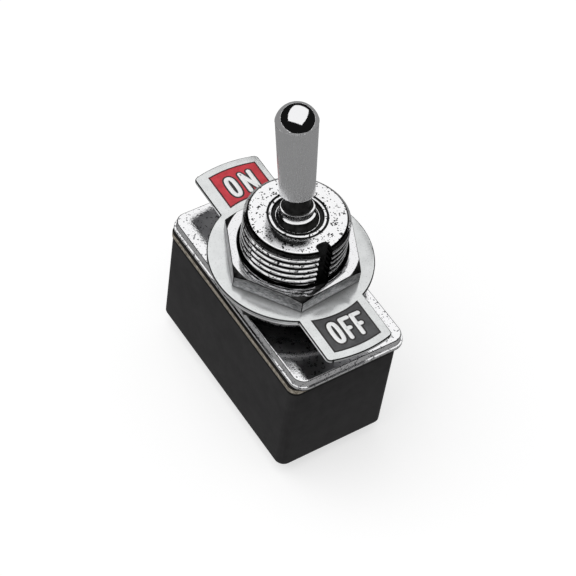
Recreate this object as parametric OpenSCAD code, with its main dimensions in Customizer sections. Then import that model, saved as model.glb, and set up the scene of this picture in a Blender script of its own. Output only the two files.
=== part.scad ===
// Panel toggle switch, two positions, one pole, in millimetres.
// +Z runs up the threaded bushing and +X points to the OFF side, where the keyway is.
// The origin is on the bushing axis, in the top face of the cover plate.
// The lever is modelled in its ON position, leaning towards -X.

/* [Case] */
// Length of the moulded case along X
case_length = 27.8; // [27.4:0.2:30]
// Width of the moulded case along Y
case_width = 15; // [14.8:0.2:17]
// Height of the moulded case
case_height = 14.5; // [14:0.1:17]
// Distance of the case's centre plane from the bushing axis, towards -Y
case_offset = 0.4; // [0:0.1:0.5]
// Radius of the case's upright corners
case_corner = 1.2; // [0.8:0.1:1.6]
// Thickness of the case floor
floor_thickness = 2.2; // [2:0.1:2.6]

/* [Cover and insulator] */
// How far the cover's ends stand out past the case
cover_end_overhang = 0.6; // [0.3:0.1:0.8]
// Width of the cover plate along Y
cover_width = 15.6; // [15.4:0.1:16.2]
// Height of the cover plate's rim
cover_height = 1.5; // [1.4:0.1:1.8]
// Sheet thickness of the cover plate
cover_sheet = 0.8; // [0.6:0.05:0.8]
// Radius of the cover's upright corners
cover_corner = 1.8; // [1.4:0.1:2.2]
// Radius by which the cover's top edge is rounded
cover_edge = 0.4; // [0.2:0.05:0.5]
// Thickness of the fibre board under the cover
insulator_thickness = 0.8; // [0.7:0.1:1.2]

/* [Bushing] */
// Outer diameter of the bushing's thread
thread_diameter = 11.9; // [11.8:0.05:12.1]
// Height of the bushing's top face over the cover
bushing_height = 11.2; // [11.1:0.1:12.5]
// Width of the keyway
keyway_width = 1.5; // [1.2:0.1:1.8]
// Depth of the keyway
keyway_depth = 1.3; // [1:0.05:1.3]
// Diameter of the bushing's shoulder on the cover
shoulder_diameter = 14.2; // [13.4:0.2:14.8]
// Height of the bushing's shoulder
shoulder_height = 0.7; // [0.5:0.05:0.9]

/* [Lever] */
// Lean of the lever from upright at either end of its travel
lever_tilt = 11.5; // [9:0.5:11.5]
// Length of the lever from its pivot to the rim of its domed end
lever_length = 15.4; // [13.5:0.1:17.5]
// Height of the dome on the lever's end
end_dome_height = 2; // [0.8:0.1:2.2]
// Diameter of the bat at its end
bat_end_diameter = 5; // [4.6:0.1:5.4]
// Diameter of the bat at its foot
bat_foot_diameter = 4.2; // [3.9:0.1:4.4]
// Height of the bat's foot above the pivot
bat_foot_height = 5; // [4.4:0.1:5.6]
// Diameter of the neck between the bat and its collar
neck_diameter = 3.2; // [2.8:0.1:3.5]

/* [Nuts and indicator plate] */
// Width across the flats of both nuts
nut_across_flats = 15; // [14:0.2:17]
// Thickness of both nuts
nut_thickness = 2; // [1.8:0.1:2.2]
// Diameter of the lock washer
washer_diameter = 19.2; // [17:0.2:20]
// Thickness of the lock washer
washer_thickness = 0.8; // [0.6:0.1:0.9]
// How far the indicator plate's round middle stands out past the lock washer
plate_overhang = 0.35; // [0.15:0.05:0.6]
// Reach of the plate's tabs from the bushing axis
tab_reach = 15.9; // [14:0.1:17]
// Width of the plate's tabs
tab_width = 8.8; // [7:0.1:10]
// Thickness of the indicator plate
plate_thickness = 0.5; // [0.4:0.05:0.6]
// Turn of the plate allowed by its key in the keyway
plate_turn = -1.3; // [-1.5:0.1:1.5]

/* [Contacts and terminals] */
// Thickness of the brass strip used inside
strip_thickness = 0.6; // [0.5:0.05:0.7]
// Tilt of the rocker from level at either end of its travel
rocker_tilt = 6; // [5:0.25:6]
// Distance from the rocker's hinge to its contact
contact_distance = 8; // [7.8:0.1:8.2]
// Thickness of the terminal tabs under the floor
tab_metal = 0.8; // [0.6:0.05:1]
// Width of the terminal tabs
terminal_width = 4.8; // [4.4:0.1:4.8]
// Diameter of the terminal screws' heads
screw_head_diameter = 4.4; // [4:0.1:4.5]

/* [Hidden] */
$fn = 64;
// clearances
running_gap = 0.05;
slide_gap = 0.03;
touch_gap = 0.02;
cut = 0.1;
// heights down the body
cover_bottom = -cover_height;
case_top = cover_bottom - insulator_thickness;
case_bottom = case_top - case_height;
floor_top = case_bottom + floor_thickness;
// case
wall_end = 2.9;
wall_side = 1.7;
cavity_length = case_length - 2 * wall_end;
cavity_width = case_width - 2 * wall_side - 2 * case_offset;
insulator_margin = 0.1;
// yoke
yoke_metal = 0.6;
yoke_width = 12.4;
leg_width = 4;
leg_inset = 1.6;
leg_x = case_length / 2 - leg_inset;
strap_inset = 2;
foot_length = 0.9;
foot_size = foot_length + yoke_metal / 2;
foot_x = leg_x + yoke_metal / 2 - foot_size / 2;
slot_gap = 0.15;
// bushing
thread_radius = thread_diameter / 2;
thread_chamfer = 0.35;
groove_width = 0.6;
groove_depth = 0.3;
spigot_radius = 5.2;
lip_radius = 5.9;
lip_height = 0.5;
bore_bottom_radius = 4.4;
bore_cone_depth = 2.5;
rim_recess_radius = 3.56;
rim_floor_radius = 3;
rim_lip_radius = 2.5;
rim_recess_depth = 0.25;
rim_lip_depth = 0.36;
// lever
pivot_depth = 2.2;
pivot_z = bushing_height - pivot_depth;
ball_radius = 2.9;
seat_radius = ball_radius + running_gap;
collar_bottom = 2;
collar_top = 3.25;
collar_bottom_radius = 1.9;
collar_top_radius = 2.1;
foot_round = 0.4;
barrel_radius = 1.9;
barrel_end = -15;
barrel_bore_top = -4.5;
pin_radius = 0.75;
pin_half_length = 4.2;
// plunger and spring
plunger_radius = 1.1;
plunger_length = 9.9;
coil_radius = 0.86;
wire_radius = 0.14;
coil_turns = 9;
coil_steps = 14;
wire_sides = 8;
// rocker
rocker_width = 5;
rocker_end = 1;
rocker_half_length = contact_distance + rocker_end;
trunnion_radius = 0.45;
trunnion_half_length = 3.9;
trough_half_length = 4.6;
hinge_height = 2.2;
hinge_z = floor_top + hinge_height;
// Reach of the plunger: the lever frame point that touches the trough in the ON position.
tip_over_hinge = 1.4;
reach_guess = pivot_z - hinge_z - tip_over_hinge;
path_bend = 1 / (2 * reach_guess) + rocker_tilt * PI / 180 / (reach_guess * sin(lever_tilt));
trough_fit = 0.96;
trough_radius = trough_fit * (1 / (2 * path_bend) + plunger_radius);
trough_centre = trough_radius + strip_thickness / 2;
trough_dx = trough_centre * sin(rocker_tilt);
trough_dz = hinge_z + trough_centre * cos(rocker_tilt) - pivot_z;
trough_along = trough_dx * sin(lever_tilt) - trough_dz * cos(lever_tilt);
trough_room = trough_radius - plunger_radius - slide_gap;
tip_centre = trough_along + sqrt(trough_along ^ 2 - trough_dx ^ 2 - trough_dz ^ 2 + trough_room ^ 2);
plunger_reach = tip_centre + plunger_radius;
wing_top = trough_centre - sqrt(trough_radius ^ 2 - trough_half_length ^ 2);
wing_bottom = wing_top - strip_thickness;
// contacts
contact_radius = 1.2;
contact_shank = 0.7;
contact_head = 0.2;
contact_dome = 2.4;
fixed_contact_height = 0.7;
fixed_contact_top = floor_top + strip_thickness + fixed_contact_height;
dome_centre_turned = fixed_contact_top + touch_gap + contact_dome - hinge_z;
dome_centre = (dome_centre_turned + contact_distance * sin(rocker_tilt)) / cos(rocker_tilt);
fixed_contact_x = contact_distance * cos(rocker_tilt) + dome_centre * sin(rocker_tilt);
stop_top = hinge_z + wing_bottom * cos(rocker_tilt) - rocker_half_length * sin(rocker_tilt) - slide_gap;
stop_x = contact_distance;
stop_length = 2.4;
// saddle, strip, tabs, rivets and screws
saddle_length = 4.4;
ear_gap = 0.4;
ear_inside = rocker_width / 2 + ear_gap;
ear_width = 2 * (ear_inside + strip_thickness);
ear_over_hinge = 0.5;
contact_strip_start = 3.4;
contact_strip_end = 10;
contact_strip_width = 4.6;
rivet_radius = 0.9;
rivet_bore = 0.45;
rivet_head_radius = 1.2;
rivet_head_height = 0.5;
common_rivet_x = 0;
line_rivet_x = 4.8;
common_screw_x = -6.2;
line_screw_x = 8.4;
screw_radius = 1.5;
screw_head_height = 1.4;
screw_slot_width = 0.7;
screw_slot_depth = 0.7;
screw_reach = 1.1;
screw_room = 0.2;
rib_x = 2.2;
rib_thickness = 0.8;
rib_height = 2;
rib_overhang = 1;
// nuts, washer and plate
nut_bore_radius = thread_radius + slide_gap;
nut_corner_radius = nut_across_flats / 2 / cos(30);
nut_chamfer = 0.4;
nut_corner_cut = 0.7;
nut_bore_chamfer = 0.6;
top_nut_turn = -25;
lower_nut_turn = -10;
washer_bore_radius = thread_radius + slot_gap;
washer_ring_radius = 7.3;
washer_teeth = 12;
washer_tooth_width = 1.5;
plate_radius = washer_diameter / 2 + plate_overhang;
key_width = keyway_width - 2 * slot_gap;
tab_corner = 0.6;
washer_z = shoulder_height + nut_thickness;
plate_z = washer_z + washer_thickness;
top_nut_z = plate_z + plate_thickness;
top_nut_top = top_nut_z + nut_thickness;

// Rectangle with round corners, from squares and circles.
module round_rectangle(length, width, corner) {
    square([length, width - 2 * corner], center = true);
    square([length - 2 * corner, width], center = true);
    for (x = [-1, 1], y = [-1, 1])
        translate([x * (length / 2 - corner), y * (width / 2 - corner)])
            circle(r = corner);
}

// Plate between two heights.
module slab(bottom, top) {
    translate([0, 0, bottom])
        linear_extrude(height = top - bottom)
            children();
}

// Upright cylinder between two heights.
module rod(radius, bottom, top) {
    translate([0, 0, bottom])
        cylinder(r = radius, h = top - bottom);
}

// Extrusion of a drawing in the XZ plane, centred on y = 0.
module across(width) {
    rotate([90, 0, 0])
        translate([0, 0, -width / 2])
            linear_extrude(height = width)
                children();
}

// Places a piece drawn along the lever's own axis, with the pivot at its zero.
module in_lever() {
    translate([0, 0, pivot_z])
        rotate([0, -lever_tilt, 0])
            children();
}

// Places a piece drawn on the level rocker, with the hinge at its zero.
module in_rocker() {
    translate([0, 0, hinge_z])
        rotate([0, rocker_tilt, 0])
            children();
}

// Case with cavity, stop post, barrier rib, leg slots and fixing holes.
module case_body() {
    slot_thickness = yoke_metal + 2 * slot_gap;
    color([0.12, 0.12, 0.12])
    difference() {
        union() {
            difference() {
                translate([0, -case_offset, 0])
                    slab(case_bottom, case_top)
                        round_rectangle(case_length, case_width, case_corner);
                slab(floor_top, case_top + cut)
                    square([cavity_length, cavity_width], center = true);
            }
            slab(floor_top - cut, stop_top)
                translate([-stop_x, 0])
                    square([stop_length, rocker_width], center = true);
            slab(case_bottom - rib_height, case_bottom + cut)
                translate([rib_x, 0])
                    square([rib_thickness, terminal_width + 2 * rib_overhang], center = true);
        }
        for (side = [-1, 1]) {
            slab(case_bottom - cut, case_top + cut)
                translate([side * leg_x, 0])
                    square([slot_thickness, leg_width + 2 * slot_gap], center = true);
            slab(case_bottom - cut, case_bottom + yoke_metal + slot_gap)
                translate([side * foot_x, 0])
                    square([foot_size + 2 * slot_gap, leg_width + 2 * slot_gap], center = true);
        }
        for (x = [common_rivet_x, line_rivet_x])
            translate([x, 0, 0])
                rod(rivet_radius + slide_gap, case_bottom - cut, floor_top + cut);
        for (x = [common_screw_x, line_screw_x])
            translate([x, 0, 0])
                rod(screw_radius + screw_room, case_bottom - cut, case_bottom + screw_reach + screw_room);
    }
}

// Fibre board with the lever's opening and two slots for the yoke's legs.
module top_insulator() {
    color([0.73, 0.68, 0.56])
    slab(case_top, cover_bottom)
        difference() {
            translate([0, -case_offset])
                round_rectangle(case_length + 2 * insulator_margin, case_width + 2 * insulator_margin, case_corner);
            circle(r = lip_radius + slot_gap);
            for (side = [-1, 1])
                translate([side * leg_x, 0])
                    square([yoke_metal + 2 * slot_gap, leg_width + 2 * slot_gap], center = true);
        }
}

// Drawn lid: rounded top edge, open underneath, with the bushing's hole.
module cover_plate() {
    length = case_length + 2 * cover_end_overhang;
    edge_sine = sin(45) * cover_edge;
    edge_drop = cover_edge - edge_sine;
    color([0.85, 0.86, 0.88])
    difference() {
        hull() {
            slab(cover_bottom, -cover_edge)
                round_rectangle(length, cover_width, cover_corner);
            slab(cover_bottom, -edge_drop)
                round_rectangle(length - 2 * edge_drop, cover_width - 2 * edge_drop, cover_corner - edge_drop);
            slab(cover_bottom, 0)
                round_rectangle(length - 2 * cover_edge, cover_width - 2 * cover_edge, cover_corner - cover_edge);
        }
        slab(cover_bottom - cut, -cover_sheet)
            round_rectangle(length - 2 * cover_sheet, cover_width - 2 * cover_sheet, cover_corner - cover_sheet);
        rod(spigot_radius, cover_bottom - cut, cut);
    }
}

// Strap under the cover, with its two legs bent over under the case floor.
module clamp_yoke() {
    color([0.62, 0.63, 0.66])
    difference() {
        union() {
            slab(-cover_sheet - yoke_metal, -cover_sheet) {
                square([2 * (leg_x - strap_inset), yoke_width], center = true);
                square([2 * leg_x + yoke_metal, leg_width], center = true);
            }
            for (side = [-1, 1]) {
                slab(case_bottom, -cover_sheet)
                    translate([side * leg_x, 0])
                        square([yoke_metal, leg_width], center = true);
                slab(case_bottom, case_bottom + yoke_metal)
                    translate([side * foot_x, 0])
                        square([foot_size, leg_width], center = true);
            }
        }
        rod(spigot_radius, -cover_sheet - yoke_metal - cut, -cover_sheet + cut);
    }
}

// Threaded bushing with shoulder, staked spigot, lever seat, pin slots and keyway.
// A narrow groove level with the top nut's face ends the thread that stays free.
module threaded_bushing() {
    yoke_bottom = -cover_sheet - yoke_metal;
    lip_bottom = yoke_bottom - lip_height;
    cone_top = pivot_z - bore_cone_depth;
    color([0.84, 0.85, 0.87])
    difference() {
        union() {
            rod(thread_radius, 0, bushing_height - thread_chamfer);
            translate([0, 0, bushing_height - thread_chamfer])
                cylinder(r1 = thread_radius, r2 = thread_radius - thread_chamfer, h = thread_chamfer);
            rod(shoulder_diameter / 2, 0, shoulder_height);
            rod(spigot_radius, lip_bottom, cut);
            rod(lip_radius, lip_bottom, yoke_bottom);
        }
        difference() {
            rod(thread_radius + cut, top_nut_top - groove_width, top_nut_top);
            rod(thread_radius - groove_depth, top_nut_z, top_nut_top + cut);
        }
        translate([0, 0, pivot_z])
            sphere(r = seat_radius);
        rod(rim_lip_radius, pivot_z, bushing_height + cut);
        translate([0, 0, bushing_height - rim_recess_depth])
            cylinder(r1 = rim_floor_radius, r2 = rim_recess_radius, h = rim_recess_depth);
        translate([0, 0, bushing_height - rim_lip_depth])
            cylinder(r1 = rim_lip_radius, r2 = rim_floor_radius, h = rim_lip_depth - rim_recess_depth);
        rod(seat_radius + slide_gap, cone_top, pivot_z);
        translate([0, 0, lip_bottom])
            cylinder(r1 = bore_bottom_radius, r2 = seat_radius + slide_gap, h = cone_top - lip_bottom);
        across(2 * (pin_half_length + running_gap)) {
            translate([0, pivot_z])
                circle(r = pin_radius + running_gap);
            translate([-pin_radius - running_gap, lip_bottom - cut])
                square([2 * (pin_radius + running_gap), pivot_z - lip_bottom + cut]);
        }
        slab(shoulder_height, bushing_height + cut)
            translate([thread_radius - keyway_depth, -keyway_width / 2])
                square([2 * keyway_depth, keyway_width]);
    }
}

// Lever turned in one piece: bat, neck, collar, ball and hollow barrel.
module bat_lever() {
    bat_end = bat_end_diameter / 2;
    bat_foot = bat_foot_diameter / 2;
    dome_radius = (bat_end ^ 2 + end_dome_height ^ 2) / (2 * end_dome_height);
    color([0.6, 0.61, 0.63])
    in_lever()
    difference() {
        union() {
            intersection() {
                rotate_extrude()
                    polygon([[0, bat_foot_height], [bat_foot - foot_round, bat_foot_height],
                             [bat_foot, bat_foot_height + foot_round], [bat_end, lever_length],
                             [bat_end, lever_length + bat_end], [0, lever_length + bat_end]]);
                union() {
                    rod(bat_end_diameter, 0, lever_length);
                    translate([0, 0, lever_length + end_dome_height - dome_radius])
                        sphere(r = dome_radius);
                }
            }
            rod(neck_diameter / 2, 0, bat_foot_height + cut);
            translate([0, 0, collar_bottom])
                cylinder(r1 = collar_bottom_radius, r2 = collar_top_radius, h = collar_top - collar_bottom);
            sphere(r = ball_radius);
            rod(barrel_radius, barrel_end, 0);
        }
        rod(plunger_radius + running_gap, barrel_end - cut, barrel_bore_top);
        rotate([90, 0, 0])
            cylinder(r = pin_radius, h = 4 * ball_radius, center = true);
    }
}

// Cross pin through the lever's ball.
module lever_pin() {
    color([0.55, 0.56, 0.58])
    translate([0, 0, pivot_z])
        rotate([90, 0, 0])
            cylinder(r = pin_radius, h = 2 * pin_half_length, center = true);
}

// Plunger with a round end, in the lever's barrel.
module plunger() {
    color([0.9, 0.88, 0.8])
    in_lever() {
        rod(plunger_radius, -tip_centre, plunger_length - plunger_reach);
        translate([0, 0, -tip_centre])
            sphere(r = plunger_radius);
    }
}

// One ring of points round the coil's wire, t turns up from its lower end.
function wire_ring(t, lower, rise) =
    [for (side = [0 : wire_sides - 1])
        let (around = 360 * side / wire_sides, out = coil_radius + wire_radius * cos(around))
            [out * cos(360 * t), out * sin(360 * t), lower + rise * t + wire_radius * sin(around)]];

// Coil spring between the plunger and the end of the barrel's bore.
module plunger_spring() {
    lower = plunger_length - plunger_reach + wire_radius;
    upper = barrel_bore_top - wire_radius;
    rise = (upper - lower) / coil_turns;
    rings = coil_turns * coil_steps;
    points = [for (ring = [0 : rings], point = wire_ring(ring / coil_steps, lower, rise)) point];
    sides = [for (ring = [0 : rings - 1], side = [0 : wire_sides - 1])
        let (next = (side + 1) % wire_sides, low = ring * wire_sides, high = low + wire_sides)
            [low + side, high + side, high + next, low + next]];
    first_cap = [for (side = [0 : wire_sides - 1]) side];
    last_cap = [for (side = [0 : wire_sides - 1]) rings * wire_sides + wire_sides - 1 - side];
    color([0.7, 0.71, 0.73])
    in_lever()
        polyhedron(points = points, faces = concat(sides, [first_cap, last_cap]));
}

// Rocker strip: trough for the plunger, two wings and two trunnions.
module contact_rocker() {
    wing_length = rocker_half_length - trough_half_length;
    color([0.83, 0.66, 0.32])
    in_rocker()
    difference() {
        union() {
            across(rocker_width) {
                intersection() {
                    difference() {
                        translate([0, trough_centre])
                            circle(r = trough_radius + strip_thickness);
                        translate([0, trough_centre])
                            circle(r = trough_radius);
                    }
                    translate([-trough_half_length, -strip_thickness])
                        square([2 * trough_half_length, wing_top + strip_thickness]);
                }
                for (side = [-1, 1])
                    translate([side * (trough_half_length + wing_length / 2), (wing_top + wing_bottom) / 2])
                        square([wing_length, strip_thickness], center = true);
            }
            rotate([90, 0, 0])
                cylinder(r = trunnion_radius, h = 2 * trunnion_half_length, center = true);
        }
        translate([0, 0, trough_centre])
            rotate([90, 0, 0])
                cylinder(r = trough_radius, h = rocker_width + cut, center = true);
        translate([contact_distance, 0, 0])
            rod(contact_shank, wing_bottom - cut, wing_top + cut);
    }
}

// Domed contact riveted into the rocker's ON end.
module moving_contact() {
    color([0.86, 0.87, 0.88])
    in_rocker()
    translate([contact_distance, 0, 0]) {
        intersection() {
            rod(contact_radius, dome_centre - contact_dome - cut, wing_bottom);
            translate([0, 0, dome_centre])
                sphere(r = contact_dome);
        }
        rod(contact_shank, wing_bottom - cut, wing_top);
        rod(contact_shank + contact_head, wing_top, wing_top + contact_head);
    }
}

// U bracket: base on the floor and two ears with open notches for the trunnions.
module rocker_saddle() {
    ear_top = hinge_z + ear_over_hinge;
    notch = trunnion_radius + running_gap;
    color([0.83, 0.66, 0.32])
    difference() {
        union() {
            slab(floor_top, floor_top + strip_thickness)
                square([saddle_length, ear_width], center = true);
            for (side = [-1, 1])
                slab(floor_top, ear_top)
                    translate([0, side * (ear_inside + strip_thickness / 2)])
                        square([saddle_length, strip_thickness], center = true);
        }
        across(ear_width + cut) {
            translate([0, hinge_z])
                circle(r = notch);
            translate([-notch, hinge_z])
                square([2 * notch, 2 * ear_over_hinge]);
        }
        rod(rivet_radius, floor_top - cut, floor_top + strip_thickness + cut);
    }
}

// Flat strip that carries the fixed contact.
module contact_strip() {
    color([0.83, 0.66, 0.32])
    slab(floor_top, floor_top + strip_thickness)
        difference() {
            translate([contact_strip_start, -contact_strip_width / 2])
                square([contact_strip_end - contact_strip_start, contact_strip_width]);
            translate([line_rivet_x, 0])
                circle(r = rivet_radius);
        }
}

// Silver contact on the strip.
module fixed_contact() {
    color([0.86, 0.87, 0.88])
    translate([fixed_contact_x, 0, 0])
        rod(contact_radius, floor_top + strip_thickness, fixed_contact_top);
}

// Terminal tab from its rivet to its screw, with round ends.
module terminal_tab(rivet_x, screw_x) {
    color([0.83, 0.66, 0.32])
    slab(case_bottom - tab_metal, case_bottom)
        difference() {
            union() {
                translate([(rivet_x + screw_x) / 2, 0])
                    square([abs(screw_x - rivet_x), terminal_width], center = true);
                translate([screw_x, 0])
                    circle(d = terminal_width);
                translate([rivet_x, 0])
                    square([2 * rivet_head_radius, terminal_width], center = true);
            }
            translate([rivet_x, 0])
                circle(r = rivet_radius);
            translate([screw_x, 0])
                circle(r = screw_radius);
        }
}

module common_terminal() {
    terminal_tab(common_rivet_x, common_screw_x);
}

module line_terminal() {
    terminal_tab(line_rivet_x, line_screw_x);
}

// Tubular rivet with a head inside the case and one under the tab.
module terminal_rivet(x) {
    inner_face = floor_top + strip_thickness;
    outer_face = case_bottom - tab_metal;
    color([0.78, 0.62, 0.34])
    translate([x, 0, 0])
        difference() {
            union() {
                rod(rivet_radius, outer_face - cut, inner_face + cut);
                rod(rivet_head_radius, inner_face, inner_face + rivet_head_height);
                rod(rivet_head_radius, outer_face - rivet_head_height, outer_face);
            }
            rod(rivet_bore, outer_face - 2 * rivet_head_height, inner_face + 2 * rivet_head_height);
        }
}

module common_rivet() {
    terminal_rivet(common_rivet_x);
}

module line_rivet() {
    terminal_rivet(line_rivet_x);
}

// Slotted binding-head screw under a tab.
module terminal_screw(x) {
    face = case_bottom - tab_metal;
    color([0.8, 0.66, 0.36])
    translate([x, 0, 0])
        difference() {
            union() {
                rod(screw_radius, face - cut, case_bottom + screw_reach);
                rod(screw_head_diameter / 2, face - screw_head_height, face);
            }
            slab(face - screw_head_height - cut, face - screw_head_height + screw_slot_depth)
                square([screw_slot_width, screw_head_diameter + cut], center = true);
        }
}

module common_screw() {
    terminal_screw(common_screw_x);
}

module line_screw() {
    terminal_screw(line_screw_x);
}

// Hexagon nut, chamfered on its upper side, standing on z = bottom.
module hex_nut(bottom, turn) {
    color([0.82, 0.83, 0.85])
    translate([0, 0, bottom])
        difference() {
            intersection() {
                rotate([0, 0, turn])
                    cylinder(r = nut_corner_radius, h = nut_thickness, $fn = 6);
                union() {
                    rod(nut_corner_radius + cut, 0, nut_thickness - nut_chamfer);
                    translate([0, 0, nut_thickness - nut_chamfer])
                        cylinder(r1 = nut_corner_radius + cut, r2 = nut_corner_radius - nut_corner_cut, h = nut_chamfer);
                }
            }
            rod(nut_bore_radius, -cut, nut_thickness + cut);
            translate([0, 0, nut_thickness - nut_bore_chamfer])
                cylinder(r1 = nut_bore_radius, r2 = nut_bore_radius + nut_bore_chamfer, h = nut_bore_chamfer);
        }
}

module lower_nut() {
    hex_nut(shoulder_height, lower_nut_turn);
}

module top_nut() {
    hex_nut(top_nut_z, top_nut_turn);
}

// Lock washer with teeth that point inwards.
module lock_washer() {
    color([0.6, 0.61, 0.63])
    slab(washer_z, plate_z)
        difference() {
            circle(d = washer_diameter);
            difference() {
                circle(r = washer_ring_radius);
                for (tooth = [0 : washer_teeth - 1])
                    rotate(360 * (tooth + 0.5) / washer_teeth)
                        translate([washer_bore_radius, -washer_tooth_width / 2])
                            square([washer_ring_radius, washer_tooth_width]);
            }
            circle(r = washer_bore_radius);
        }
}

// Indicator plate: round middle, two tabs and a key in the keyway.
module indicator_plate() {
    side = tab_width / 2;
    corner_y = side - tab_corner;
    corner_x = sqrt((tab_reach - tab_corner) ^ 2 - corner_y ^ 2);
    color([0.88, 0.89, 0.9])
    rotate([0, 0, plate_turn])
    slab(plate_z, top_nut_z) {
        difference() {
            union() {
                circle(r = plate_radius);
                square([2 * corner_x, tab_width], center = true);
                intersection() {
                    circle(r = tab_reach);
                    square([2 * tab_reach, 2 * corner_y], center = true);
                }
                for (x = [-1, 1], y = [-1, 1])
                    translate([x * corner_x, y * corner_y])
                        circle(r = tab_corner);
            }
            circle(r = washer_bore_radius);
        }
        translate([thread_radius - keyway_depth + 2 * slot_gap, -key_width / 2])
            square([keyway_depth + slot_gap, key_width]);
    }
}

case_body();
top_insulator();
cover_plate();
clamp_yoke();
threaded_bushing();
bat_lever();
lever_pin();
plunger();
plunger_spring();
contact_rocker();
moving_contact();
rocker_saddle();
contact_strip();
fixed_contact();
common_terminal();
line_terminal();
common_rivet();
line_rivet();
common_screw();
line_screw();
lower_nut();
lock_washer();
indicator_plate();
top_nut();
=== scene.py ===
# %% [markdown]
# A panel toggle switch: a black moulded case under a bright pressed cover, a
# threaded bushing with two nuts, a lock washer and an ON and OFF plate, and a
# bat-shaped lever. The solids come from CAD and stay where they are. Blender
# gives each one its finish, and rebuilds the few that need a finer surface
# than a solid has: the thread, the polished cover, the lever and the printing.
# Lengths are named in millimetres and put into the meshes in metres.

import bmesh
import bpy
import numpy as np
from mathutils import Matrix, Vector


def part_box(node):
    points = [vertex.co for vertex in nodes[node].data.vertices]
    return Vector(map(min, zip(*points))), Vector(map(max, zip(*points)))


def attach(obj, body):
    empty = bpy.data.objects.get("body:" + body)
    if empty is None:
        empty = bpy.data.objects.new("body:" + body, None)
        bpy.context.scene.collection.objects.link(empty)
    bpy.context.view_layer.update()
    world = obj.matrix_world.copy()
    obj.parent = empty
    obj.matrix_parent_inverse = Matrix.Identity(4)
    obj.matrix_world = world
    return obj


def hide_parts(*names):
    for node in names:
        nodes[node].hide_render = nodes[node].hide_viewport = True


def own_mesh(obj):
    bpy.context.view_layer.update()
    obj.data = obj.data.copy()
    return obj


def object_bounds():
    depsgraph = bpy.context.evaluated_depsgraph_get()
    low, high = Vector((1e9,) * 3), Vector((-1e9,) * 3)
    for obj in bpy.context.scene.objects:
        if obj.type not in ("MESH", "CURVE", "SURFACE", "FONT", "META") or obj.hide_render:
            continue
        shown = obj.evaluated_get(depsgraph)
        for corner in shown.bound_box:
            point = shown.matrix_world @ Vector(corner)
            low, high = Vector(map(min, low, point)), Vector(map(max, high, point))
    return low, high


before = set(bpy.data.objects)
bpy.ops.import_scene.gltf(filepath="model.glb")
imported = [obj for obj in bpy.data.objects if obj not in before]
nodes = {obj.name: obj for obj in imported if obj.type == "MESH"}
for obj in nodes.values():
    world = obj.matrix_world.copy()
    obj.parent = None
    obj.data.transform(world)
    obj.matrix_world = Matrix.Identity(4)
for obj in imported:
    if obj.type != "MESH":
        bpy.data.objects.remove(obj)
cad_low, cad_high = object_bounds()
MM = 0.001
print("solids:", len(nodes), "box in mm:", [round(v / MM, 2) for v in cad_high - cad_low])

# %% [markdown]
# A small part is best seen from far away through a long lens, so that the
# case's edges stay nearly parallel. The camera is given by where it looks, from
# which side, how high, how far it leans and how far off it stands.

# %% Camera
VIEW_SIDE = np.radians(49.895)
VIEW_HEIGHT = np.radians(50.85)
VIEW_LEAN = np.radians(9.549)
VIEW_DISTANCE = 260.395 * MM
VIEW_POINT = np.array([1.014, -0.490, -0.889]) * MM
LENS = 137.027
NEAREST, FARTHEST = 0.005, 20


def camera_axes(side, height, lean):
    """Right, up and back of a camera that looks down on the part from a side and then leans."""
    back = np.array([np.sin(side) * np.cos(height), -np.cos(side) * np.cos(height), np.sin(height)])
    level = np.array([np.cos(side), np.sin(side), 0.0])
    upright = np.cross(back, level)
    right = np.cos(lean) * level + np.sin(lean) * upright
    up = -np.sin(lean) * level + np.cos(lean) * upright
    return right, up, back


def placed(name, data):
    """An object in the scene that shows a mesh, a lamp or a camera."""
    thing = bpy.data.objects.new(name, data)
    bpy.context.scene.collection.objects.link(thing)
    return thing


right, up, back = camera_axes(VIEW_SIDE, VIEW_HEIGHT, VIEW_LEAN)
camera = placed("camera", bpy.data.cameras.new("camera"))
bpy.context.scene.camera = camera
camera.data.lens = LENS
camera.data.clip_start, camera.data.clip_end = NEAREST, FARTHEST
bpy.context.scene.view_settings.view_transform = "Standard"
turn = Matrix(np.stack([right, up, back], axis=1).tolist()).to_4x4()
camera.matrix_world = Matrix.Translation((VIEW_POINT + VIEW_DISTANCE * back).tolist()) @ turn
print("camera stands at", [round(v / MM, 1) for v in camera.location], "mm")

# %% [markdown]
# Every new surface is a grid: points are worked out for all rows and columns at
# once, and neighbours are joined into four-sided faces. A grid may close on
# itself along its columns, along its rows, or both.

# %% Helpers that turn grids of points into pieces
WELD = 0.001 * MM


def grid_faces(rows, columns, close_rows=False, close_columns=False):
    """Faces between row i and i + 1, column j and j + 1, wrapping round where the grid is closed."""
    i = np.arange(rows if close_rows else rows - 1)[:, None]
    j = np.arange(columns if close_columns else columns - 1)[None, :]
    i2, j2 = (i + 1) % rows, (j + 1) % columns
    corners = [i * columns + j, i * columns + j2, i2 * columns + j2, i2 * columns + j]
    return np.stack([np.broadcast_to(c, (i.size, j.size)) for c in corners], axis=-1).reshape(-1, 4)


def piece_from(name, points, faces, body, smooth_angle=30):
    """A mesh piece from points in metres and faces, smooth except over edges sharper than the angle."""
    mesh = bpy.data.meshes.new(name)
    mesh.from_pydata(points.reshape(-1, 3).tolist(), [], faces.tolist())
    mesh.validate()
    mesh.shade_smooth()
    mesh.set_sharp_from_angle(angle=np.radians(smooth_angle))
    piece = placed(name, mesh)
    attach(piece, body)
    print(f"{name}: {len(mesh.polygons)} faces")
    return piece


def merged_by_distance(piece, distance=WELD):
    """Joins points that lie on each other, such as a pole's, and turns all faces outwards."""
    work = bmesh.new()
    work.from_mesh(piece.data)
    bmesh.ops.remove_doubles(work, verts=work.verts, dist=distance)
    bmesh.ops.recalc_face_normals(work, faces=work.faces)
    work.to_mesh(piece.data)
    work.free()
    return piece


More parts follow.
